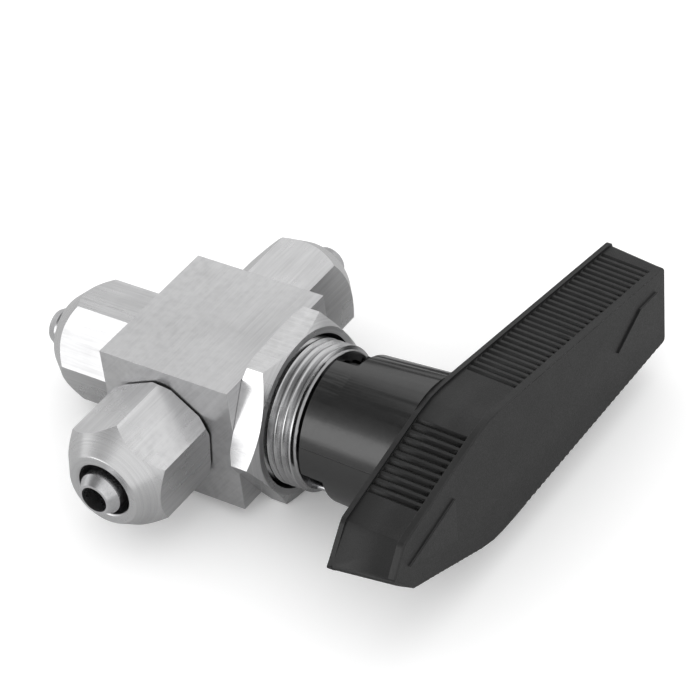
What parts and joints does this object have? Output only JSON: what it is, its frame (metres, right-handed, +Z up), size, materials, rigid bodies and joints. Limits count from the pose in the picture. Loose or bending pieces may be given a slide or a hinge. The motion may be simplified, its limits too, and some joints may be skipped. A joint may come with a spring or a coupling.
{
  "type": "three-way ball valve",
  "caption": "Square-block three-way ball valve with hose unions, a threaded panel neck with a hexagon nut, and a ribbed lever handle turning on a stop.",
  "frame": {"origin": "where the stem axis crosses the block's panel-side face", "axes": "+X along the stem axis from the block towards the handle, +Y towards the back port, +Z up"},
  "size_m": [0.0916, 0.0935, 0.0306],
  "materials": {
    "body_metal": "fine brushed, nearly matte",
    "nut_metal": "bright milled flats and turned cones",
    "turned_metal": "turned, satin",
    "polished_ball": "polished",
    "spring_metal": "hardened, satin",
    "seal_plastic": "waxy white",
    "seal_rubber": "smooth",
    "hub_plastic": "smooth, glossy",
    "lever_plastic": "fine grained",
    "bush_brass": "turned",
    "screw_metal": "blackened"
  },
  "bodies": {
    "valve": {"valve_body": "body_metal", "panel_nut": "nut_metal", "front_tube_nut": "nut_metal", "back_tube_nut": "nut_metal", "end_tube_nut": "nut_metal", "front_port_fitting": "turned_metal", "back_port_fitting": "turned_metal", "end_port_fitting": "turned_metal", "gland_nut": "turned_metal", "gland_ring": "turned_metal", "front_seat": "seal_plastic", "back_seat": "seal_plastic", "end_seat": "seal_plastic", "lower_packing_ring": "seal_plastic", "upper_packing_ring": "seal_plastic", "stem_thrust_washer": "seal_plastic", "front_port_seal": "seal_rubber", "back_port_seal": "seal_rubber", "end_port_seal": "seal_rubber", "stop_pin": "turned_metal", "disc_springs": "spring_metal"},
    "handle": {"ball": "polished_ball", "stem": "turned_metal", "stem_o_ring": "seal_rubber", "handle_hub": "hub_plastic", "handle_bush": "bush_brass", "handle_set_screw": "screw_metal", "handle_lever": "lever_plastic"}
  },
  "joints": [
    {"name": "handle_turn", "type": "hinge", "parent": "valve", "child": "handle", "pos_m": [0, 0, 0], "axis": [1, 0, 0], "range_deg": [0, 190]}
  ]
}
